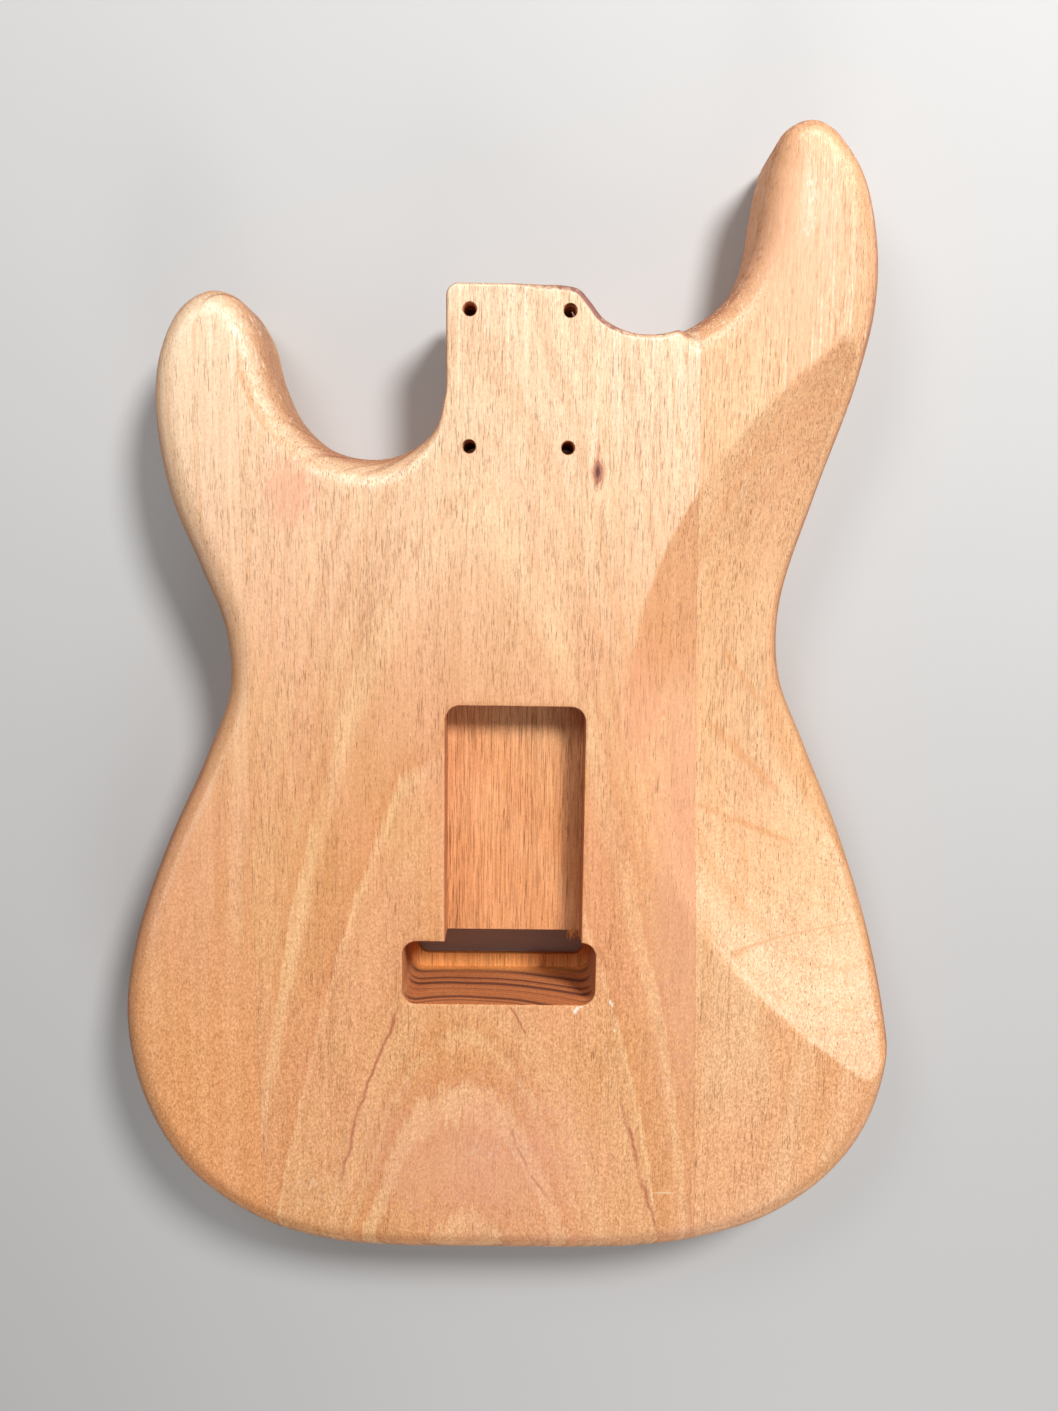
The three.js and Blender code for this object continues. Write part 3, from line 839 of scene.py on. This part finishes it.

# Colours that are mixed into the boards' own, among them painted light and shade: the neck's sheen, the
# slopes' light, the belly's shade, part of the rim's darkening, and glints
tints = {
    "brownStreaks": (.7, .28, .085, 1),
    "paintedNeckSheen": (.97, .74, .51, 1),
    "buttEnd": (.9, .38, .135, 1),
    "paintedSlopeLight": (.95, .74, .53, 1),
    "paintedBellyShade": (.87, .7, .58, 1),
    "paleLines": (.99, .8, .57, 1),
    "rim": (.52, .18, .045, 1),
    "rubbedRim": (.34, .11, .06, 1),
    "sandedEndGrain": (.17, .05, .02, 1),
    "routedEndGrain": (.58, .185, .056, 1),
    "routedEndLines": (.2, .055, .03, 1),
    "lateWood": (.07, .018, .018, 1),
    "routed": (.88, .34, .115, 1),
    "routedDeep": (.98, .42, .1, 1),
    "pores": (.25, .075, .02, 1),
    "knotHalo": (.6, .2, .1, 1),
    "knotCore": (.3, .085, .06, 1),
    "knotHeart": (.085, .02, .018, 1),
    "burnish": (.25, .085, .07, 1),
    "paintedGlint": (.97, .82, .7, 1),
    "bareNick": (.97, .9, .76, 1),
    "scratch": (.96, .78, .58, 1),
}

# Marks on the back, as (colour, strength, across, up, half width, half length): warm spots, pale nicks
# beside the block pocket and thin scratches. The seam's warm band is in the centre board alone.
seamBand = ((.8, .36, .22, 1), .5, 72, 170, 23, 120)
marks = [
    ((.83, .43, .24, 1), .75, 104, 420, 27, 52),
    ((.84, .38, .24, 1), .5, -89, 321, 14, 17),
    ((.86, .4, .26, 1), .4, -15, 48, 62, 40),
    ((.8, .33, .18, 1), .45, 50, 240, 11, 34),
    (tints["bareNick"], 1, 26.1, 111.9, .9, 1.5),
    (tints["bareNick"], 1, 27.0, 113.2, 1.0, 1.3),
    (tints["bareNick"], .8, 28.4, 114.2, 1.2, .9),
    (tints["bareNick"], .8, 40.6, 116.1, .6, 1.3),
    (tints["bareNick"], .7, 41.4, 115.0, .6, 1.1),
    ((.97, .86, .6, 1), .7, 42.6, 103.7, .6, .9),
    (tints["scratch"], .18, 36, 374.4, 8, .5),
    (tints["scratch"], .18, 43, 360, 9, .5),
    ((.95, .74, .5, 1), .6, 65.4, 31.4, 6, .5),
]

# Where the oil was rubbed to a shine, as (flecks, across, up, half width, half length); flecks is the
# strength of the painted glints, whitish flecks painted into the spot
glossSpots = [
    (.5, 108, 430, 4, 17),
    (.35, -106, 378, 7, 14),
    (.08, -2, 372, 26, 24),
    (.35, -81, 31, 12, 9),
    (.25, -5, 50, 18, 9),
]

# The heel's edge, rubbed dark by the tool that shaped it, given like the spots above, and the knot
burnishedEdge = (27, 394, 22, 21)
knotSpot = {"Across": 30.8, "Up": 330.9}


def patchMask(place, unevenness, across, up, halfWidth, halfLength):
    spot = {"Across": across, "Up": up, "Half Width": halfWidth, "Half Length": halfLength}
    return useGroup("patch", {"Place": place, "Unevenness": unevenness, **spot})["Mask"]


def toneRamp(age, stops):
    low, high = stops[0][0], stops[-1][0]
    colour = add("ValToRGB", {0: linear(age, low, high, 0, 1)})["Color"]
    ramp = colour.node.color_ramp
    ramp.elements[0].position, ramp.elements[1].position = 0, 1
    for place, tone in stops[1:-1]:
        ramp.elements.new((place - low) / (high - low))
    for element, (place, tone) in zip(ramp.elements, stops):
        element.color = (tone, tone, tone, 1)
    return colour


def figuredWood(looks, place, warm, edge, isRouted, isCentre):
    # the bands of growth, warmed in places, paled towards the neck by painted sheen and deeper to the
    # butt
    seed = looks["seed"]
    lineWidth = looks["lineWidth"] * (2 if isRouted else 1)
    tear = times(minus(1.03, edge["End Grain"]), looks["tear"])
    age = useGroup("rings", {"Place": place, "Tear": tear, "Seed": seed, **looks["pith"]})["Age"]
    bands = useGroup("bands", {
        "Age": age, "Band Width": looks["bandWidth"], "Line Width": lineWidth, "Seed": seed})
    tone = bands["Bands"]
    if isCentre:
        tone = mixColour(looks["noiseShare"], toneRamp(age, cathedralTones), tone)
    colour = mixColour(tone, looks["tan"], looks["cream"])
    colour = mixColour(remap(warm, .38, .66, 0, .6), colour, looks["pink"])
    brown = noise(place, .085, .0045, 2, .6)
    colour = mixColour(remap(brown, .5, .72, 0, .32), colour, tints["brownStreaks"])
    up = axesOf(place)["Y"]
    # painted sheen: paler towards the neck
    colour = mixColour(remap(up, 170, 400, 0, looks["neckSheen"]), colour, tints["paintedNeckSheen"])
    colour = mixColour(remap(up, 200, 55, 0, looks["deep"]), colour, tints["buttEnd"])
    # painted light: sanded slopes that lean towards the neck are made paler
    if not isRouted:
        colour = mixColour(remap(edge["Lean"], .62, 1, 0, .34), colour, tints["paintedSlopeLight"])
    # painted shade: the centre board's part of the belly slope is darkened at its upper end
    if isCentre:
        bellyShadeMask = times(edge["Slope"], remap(up, 232, 264))
        colour = mixColour(bellyShadeMask, colour, tints["paintedBellyShade"], "MULTIPLY")
    colour = mixColour(times(bands["Lines"], .2), colour, looks["tan"])
    colour = mixColour(times(bands["Rings"], looks["rings"]), colour, looks["cream"])
    if isRouted:
        colour = mixColour(remap(warm, .35, .6, .15, .5), colour, tints["routed"])
    # the rim is darker, partly its own colour and partly painted shade, end grain darker still, with
    # the late wood's lines in it
    colour = mixColour(times(edge["Rim"], .3 if isRouted else .62), colour, tints["rim"])
    rubbed = times(remap(edge["Rim"], .45, 1), remap(warm, .4, .6))
    colour = mixColour(times(rubbed, .5), colour, tints["rubbedRim"])
    endTint = tints["routedEndGrain" if isRouted else "sandedEndGrain"]
    colour = mixColour(times(edge["End Grain"], .88 if isRouted else .22), colour, endTint)
    if isRouted:
        thin = useGroup("bands", {"Age": age, "Line Width": 1.5, "Seed": seed})["Lines"]
        colour = mixColour(times(edge["End Grain"], thin, .35), colour, tints["routedEndLines"])
    dark = times(edge["End Grain"], bands["Lines"], .75 if isRouted else .4)
    return mixColour(dark, colour, tints["lateWood"])


def fibreToneAndSlopeLight(looks, fibres, crumbs, up, lean, isRouted):
    # darker fibres are also warmer, the sanded face is more speckled towards the butt, and slopes
    # leaning towards the neck get painted light, slopes leaning towards the butt painted shade
    silk = looks["fibre"] * (3.5 if isRouted else 1)
    speckle = .7 if isRouted else remap(up, 250, 60, .75, 2.1)
    toneAndSlopeLight = times(
        linear(fibres["Streaks"], .3, .7, .94, 1.05),
        linear(fibres["Fibre"], .3, .7, 1 - silk, 1.02 + silk),
        plus(centred(crumbs, speckle), 1.0),
        linear(lean, 0, 1, .74, 1.22))
    return combined(calc("POWER", toneAndSlopeLight, .75), toneAndSlopeLight, calc("POWER", toneAndSlopeLight, 1.3))


def poreMask(looks, place, up, isRouted):
    # small pores and large ones, more crowded towards the neck
    crowding = plus(remap(up, 110, 340, 0, .48), looks["crowding"] + (.3 if isRouted else 0))
    small = useGroup("pores", {
        "Place": place, "Per Width": 2.3, "Per Length": .13 if isRouted else .3, "Size": .33,
        "Crowding": crowding, "Seed": looks["seed"]})["Pores"]
    large = useGroup("pores", {
        "Place": place, "Per Width": 1.4, "Per Length": .07 if isRouted else .19, "Size": .31,
        "Crowding": minus(crowding, .1), "Seed": looks["seed"] + 9})["Pores"]
    return calc("MAXIMUM", times(small, .8), large)


def stained(colour, place, stains):
    waver = noise(place, .05, .07, 3, .6)
    for across, up, length, lean, bow, width in stains["lines"]:
        mask = useGroup("stain", {
            "Place": place, "Waver": waver, "Top Across": across, "Top Up": up, "Length": length,
            "Lean": lean, "Bow": bow, "Width": width, "Down To": stains["downTo"]})["Mask"]
        colour = mixColour(times(mask, stains["strength"]), colour, stains["colour"])
    return colour


def knotted(colour, knot):
    colour = mixColour(times(knot["Halo"], .6), colour, tints["knotHalo"])
    colour = mixColour(times(knot["Core"], .72), colour, tints["knotCore"])
    return mixColour(times(knot["Heart"], .8), colour, tints["knotHeart"])


def woodMaterial(name, looks, isRouted=False, isCentre=False):
    material = bpy.data.materials.new(name)
    material.use_nodes = True
    tree = material.node_tree
    tree.nodes.clear()
    surface = add("BsdfPrincipled", {"IOR": 1.5, "Specular IOR Level": .38}, tree)["BSDF"]
    add("OutputMaterial", {"Surface": surface})
    shader = surface.node.inputs
    place = useGroup("place", {"Spot": add("TexCoord", {}, tree)["Object"]})["Place"]
    edge = useGroup("edge", {"Place": place, "Normal": add("NewGeometry", {}, tree)["Normal"]})
    grainPlace = place
    if isCentre:
        knot = useGroup("knot", {"Place": place, **knotSpot})
        grainPlace = knot["Place"]
    axes = axesOf(place)
    warm = noise(grainPlace, .022, .009, 3, .55)
    fine = noise(place, .5, .35, 3, .6)
    crumbs = noise(place, 1.5, .8, 3, .7)
    fibres = useGroup("fibres", {"Place": grainPlace, "Seed": looks["seed"]})
    colour = figuredWood(looks, grainPlace, warm, edge, isRouted, isCentre)
    if isRouted:
        colour = mixColour(remap(axes["Z"], 12, 4, 0, .6), colour, tints["routedDeep"])
    else:
        paleLines = times(fibres["Pale Lines"], remap(axes["Y"], 270, 390, 0, .55))
        colour = mixColour(paleLines, colour, tints["paleLines"])
    toneAndSlopeLight = fibreToneAndSlopeLight(looks, fibres, crumbs, axes["Y"], edge["Lean"], isRouted)
    colour = mixColour(1.0, colour, toneAndSlopeLight, "MULTIPLY")
    pores = poreMask(looks, grainPlace, axes["Y"], isRouted)
    colour = mixColour(times(pores, .95 if isRouted else looks["poreDepth"]), colour, tints["pores"])
    if looks["stains"]:
        colour = stained(colour, place, looks["stains"])
    if isCentre:
        colour = knotted(colour, knot)
    if isRouted:
        roughness = remap(warm, .3, .7, .74, .62)
    else:
        for tint, strength, *spot in ([seamBand] if isCentre else []) + marks:
            mask = patchMask(place, fine if spot[2] > 10 else crumbs, *spot)
            colour = mixColour(times(mask, strength), colour, tint)
        burnt = times(patchMask(place, fine, *burnishedEdge), edge["Edge"], .9)
        colour = mixColour(burnt, colour, tints["burnish"])
        roughness = remap(warm, .3, .7, .52, .42)
        # painted glints: whitish flecks mixed into the shiny spots
        glintFlecks = remap(noise(place, 1.3, .3, 2, .6), .52, .66)
        for amount, *spot in glossSpots:
            mask = patchMask(place, fine, *spot)
            roughness = minus(roughness, times(mask, .14))
            colour = mixColour(times(mask, glintFlecks, amount), colour, tints["paintedGlint"])
    height = minus(times(fibres["Fibre"], .35), pores)
    bump = {"Height": height, "Strength": .7 if isRouted else .45, "Distance": .0001}
    plug(colour, shader["Base Color"])
    plug(plus(roughness, times(pores, .2), times(edge["Rim"], .22)), shader["Roughness"])
    plug(add("Bump", bump)["Normal"], shader["Normal"])
    return material


# Where the bit tore the wood: a tuft in the slot under the end of the spring cavity's floor, and
# a sliver in one bolt hole. Each is (root, heading, length, width, curl).
tornStrips = [
    ((23.8, 141.3, 28.3), (-.4, -1, .4), 6.2, 1.2, 1.2),
    ((24.6, 141.3, 28.4), (-.1, -1, .7), 5.4, 1.3, -1.0),
    ((25.4, 141.3, 28.0), (.2, -1, .3), 8.0, 1.1, 1.7),
    ((26.2, 141.3, 28.4), (.4, -1, .6), 6.4, 1.1, -1.3),
    ((26.9, 141.3, 28.2), (-.3, -1, .8), 7.0, 1.0, 2.0),
    ((27.5, 141.3, 27.8), (.4, -1, .3), 6.2, 1.1, 1.2),
    ((28.0, 141.3, 28.3), (.1, -1, .4), 5.0, 1.2, -.8),
    ((25.0, 141.3, 27.6), (-.6, -1, .2), 6.6, 1.0, 1.6),
    ((26.6, 141.3, 27.2), (.1, -1, .4), 8.2, 1.1, 2.2),
    ((25.8, 141.3, 28.4), (-.2, -.8, .9), 5.2, 1.0, -1.8),
    ((20.4, 388.7, 43.9), (-.5, 1, .05), 2.0, .9, .5),
]
# Freshly torn wood is brighter and more orange, and part of its brightness is painted light where the
# tuft catches the light
tornLooks = {**boardLooks["centreBoard"], "cream": (.95, .46, .15, 1), "tan": (.9, .34, .08, 1),
             "pink": (.95, .42, .14, 1), "crowding": .1, "stains": None}


def splinter(root, heading, length, width, curl, seed, steps=7):
    # a torn strip of wood, three-sided and pointed, that curls up along its length
    chance = random.Random(seed)
    along = Vector(heading).normalized()
    side = along.cross(Vector((0, 0, 1))).normalized()
    spot = Vector(root)
    vertices = []
    for i in range(steps):
        reach = width * (1 - i / steps) ** .7
        lift = side.cross(along).normalized()
        for across, high in ((-.5, 0), (.5, 0), (0, .45)):
            vertices.append(spot + side * (across * reach) + lift * (high * reach))
        turn = Matrix.Rotation(curl / steps + chance.uniform(-.12, .12), 3, side)
        along = (turn @ along).normalized()
        side = (Matrix.Rotation(chance.uniform(-.3, .3), 3, along) @ side).normalized()
        spot = spot + along * (length / steps)
    tip, last = len(vertices), len(vertices) - 3
    ends = [(last, last + 1, tip), (last + 1, last + 2, tip), (last + 2, last, tip), (2, 1, 0)]
    return vertices + [spot], bandFaces(steps, 3) + ends


def makeTornStrips():
    vertices, faces = [], []
    for i, strip in enumerate(tornStrips):
        points, sides = splinter(*strip, seed=i)
        faces += [tuple(index + len(vertices) for index in face) for face in sides]
        vertices += [tuple(point) for point in points]
    strips = meshObject("tornStrips", vertices, faces)
    strips.data.materials.append(woodMaterial("tornWood", tornLooks))
    return strips


woods = {}
for name, looks in boardLooks.items():
    isCentre = name == "centreBoard"
    woods[name] = {
        "sanded": woodMaterial(name + "Sanded", looks, isCentre=isCentre),
        "routed": woodMaterial(name + "Routed", looks, isCentre=isCentre, isRouted=True),
    }
print("wood materials built")

boards = makeBoards(woods)
pieces = {
    "trebleBoard": ("treble_side_board", "treble_wood"),
    "centreBoard": ("centre_board", "centre_wood"),
    "bassBoard": ("bass_side_board", "bass_wood"),
}
for name, (node, slot) in pieces.items():
    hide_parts(node)
    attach(boards[name], "root")
strips = makeTornStrips()
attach(strips, "root")
print("boards and torn strips placed in the frame")

# Floor, lights as (place, size, power), and the surroundings
studio = {
    "floorSize": 6.0,
    "floorColour": (.58, .57, .56, 1),
    "floorRoughness": .8,
    "lights": {
        "keyLight": ((.5, .7, .93), .32, 15.2),
        "fillLight": ((-.42, .62, .72), .4, 2.7),
        "lowLight": ((.25, -.85, .48), .5, 2.8),
    },
    "world": (.95, .97, 1.0, 1),
    "worldStrength": .14,
}
# The photograph was taken from close above the back. down is the way to the floor as right, up and
# forward in the picture, roll is in degrees.
photoCamera = {
    "place": (.0036, .0612, .44645),
    "down": (-.00589, .13199, 1),
    "roll": .7,
    "lens": 26.0,
    "sensor": 36.0,
    "nearest": .01,
}


def softLight(name, place, size, power):
    light = bpy.data.lights.new(name, "AREA")
    light.shape = "DISK"
    light.size = size
    light.energy = power
    lamp = placed(name, light)
    lamp.location = place
    lamp.rotation_euler = (-Vector(place)).to_track_quat("-Z", "Y").to_euler()
    lamp.visible_camera = False


def makeFloor():
    half = studio["floorSize"] / 2
    mesh = bpy.data.meshes.new("floor")
    corners = [(-half, -half, 0), (half, -half, 0), (half, half, 0), (-half, half, 0)]
    mesh.from_pydata(corners, [], [(0, 1, 2, 3)])
    material = bpy.data.materials.new("paleFloor")
    material.use_nodes = True
    shader = material.node_tree.nodes["Principled BSDF"].inputs
    shader["Base Color"].default_value = studio["floorColour"]
    shader["Roughness"].default_value = studio["floorRoughness"]
    mesh.materials.append(material)
    placed("floor", mesh)


def makeWorld():
    world = bpy.data.worlds.new("studioWorld")
    world.use_nodes = True
    background = world.node_tree.nodes["Background"].inputs
    background["Color"].default_value = studio["world"]
    background["Strength"].default_value = studio["worldStrength"]
    bpy.context.scene.world = world
    bpy.context.scene.view_settings.view_transform = "Standard"


def makeCamera():
    down = Vector(photoCamera["down"]).normalized()
    up = (Vector((0, 1, 0)) - down * down.y).normalized()
    right = Vector((1, 0, 0)) - down * down.x
    right = (right - up * right.dot(up)).normalized()
    roll = math.radians(photoCamera["roll"])
    # the body's axes as the camera sees them are the rows of its turn matrix
    sine, cosine = math.sin(roll), math.cos(roll)
    rows = [right * cosine - up * sine, right * sine + up * cosine, -down]
    turn = Matrix([(row.x, row.y, -row.z) for row in rows])
    data = bpy.data.cameras.new("photoCamera")
    data.lens = photoCamera["lens"]
    data.sensor_width = photoCamera["sensor"]
    data.clip_start = photoCamera["nearest"]
    camera = placed("photoCamera", data)
    camera.matrix_world = Matrix.Translation(photoCamera["place"]) @ turn.to_4x4()
    bpy.context.scene.camera = camera


makeFloor()
for name, light in studio["lights"].items():
    softLight(name, *light)
makeWorld()
makeCamera()
print("floor, lights and camera set")
